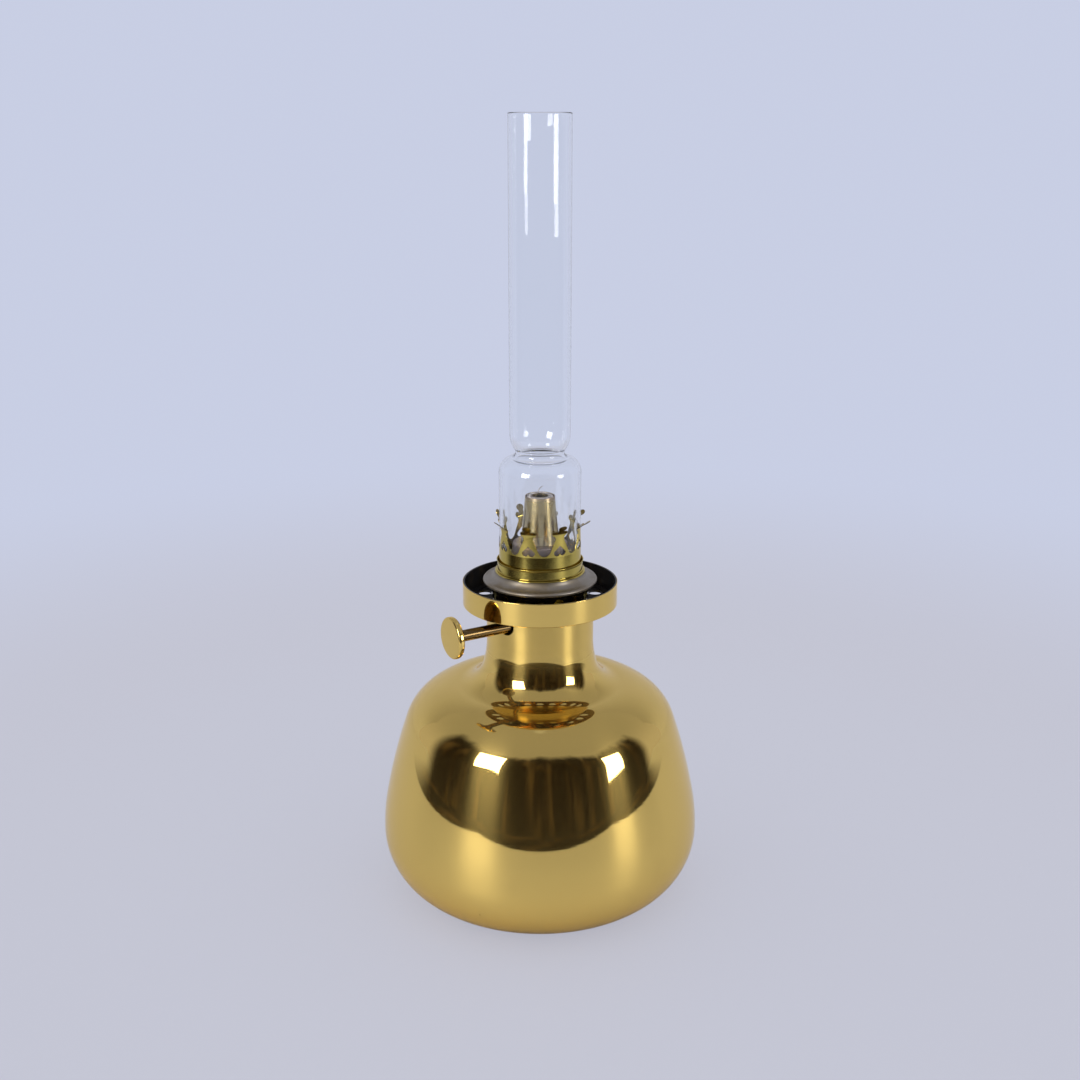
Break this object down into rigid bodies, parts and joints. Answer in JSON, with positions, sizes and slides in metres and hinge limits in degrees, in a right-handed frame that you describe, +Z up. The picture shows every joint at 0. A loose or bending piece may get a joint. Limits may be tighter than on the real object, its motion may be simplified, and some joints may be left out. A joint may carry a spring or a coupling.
{
  "type": "kerosene lamp",
  "caption": "Brass table kerosene lamp: round-bellied tank, ring for a shade, round-wick burner with knob winder, pronged gallery and tall clear glass chimney.",
  "frame": {"origin": "centre of the foot, on the table", "axes": "+Z up along the lamp's axis; the winder knob points towards -X"},
  "size_m": [0.1382, 0.1382, 0.3306],
  "materials": {
    "polished_brass": "polished",
    "burner_brass": "aged",
    "grey_metal": "satin",
    "blackened_metal": "sooted",
    "steel": "turned",
    "seal_rubber": "matte",
    "wick_cotton": "woven",
    "clear_glass": "clear"
  },
  "bodies": {
    "base": {"body_shell": "polished_brass", "body_pan": "polished_brass", "base_plate": "polished_brass", "tank_collar": "burner_brass"},
    "burner": {"collar_gasket": "seal_rubber", "shade_ring": "polished_brass", "ring_lock_nut": "burner_brass", "burner_cup": "burner_brass", "air_basket": "blackened_metal", "burner_skirt": "grey_metal", "gallery_seat": "burner_brass", "air_plate": "grey_metal", "tube_jacket": "grey_metal", "wick_guide": "burner_brass", "wick_tube": "burner_brass", "draught_tube": "burner_brass", "shaft_bushes": "burner_brass"},
    "winder": {"winder_shaft": "steel", "wick_wheels": "steel", "shaft_clip": "steel", "knob_rod": "polished_brass", "winder_knob": "polished_brass"},
    "wick": {"wick": "wick_cotton"},
    "gallery": {"gallery_crown": "burner_brass"},
    "chimney": {"chimney": "clear_glass"}
  },
  "joints": [
    {"name": "burner_lift", "type": "slide", "parent": "base", "child": "burner", "axis": [0, 0, 1], "range_m": [0, 0.12]},
    {"name": "winder_turn", "type": "hinge", "parent": "burner", "child": "winder", "pos_m": [-0.01, -0.008, 0.12449], "axis": [1, 0, 0], "range_deg": [-160, 95]},
    {"name": "wick_travel", "type": "slide", "parent": "burner", "child": "wick", "axis": [0, 0, 1], "range_m": [-0.01, 0.006]},
    {"name": "gallery_lift", "type": "slide", "parent": "burner", "child": "gallery", "axis": [0, 0, 1], "range_m": [0, 0.05]},
    {"name": "chimney_lift", "type": "slide", "parent": "gallery", "child": "chimney", "axis": [0, 0, 1], "range_m": [0, 0.08]}
  ],
  "couplings": [
    {"joint": "wick_travel", "follows": "winder_turn", "m_per_rad": 0.0035}
  ]
}
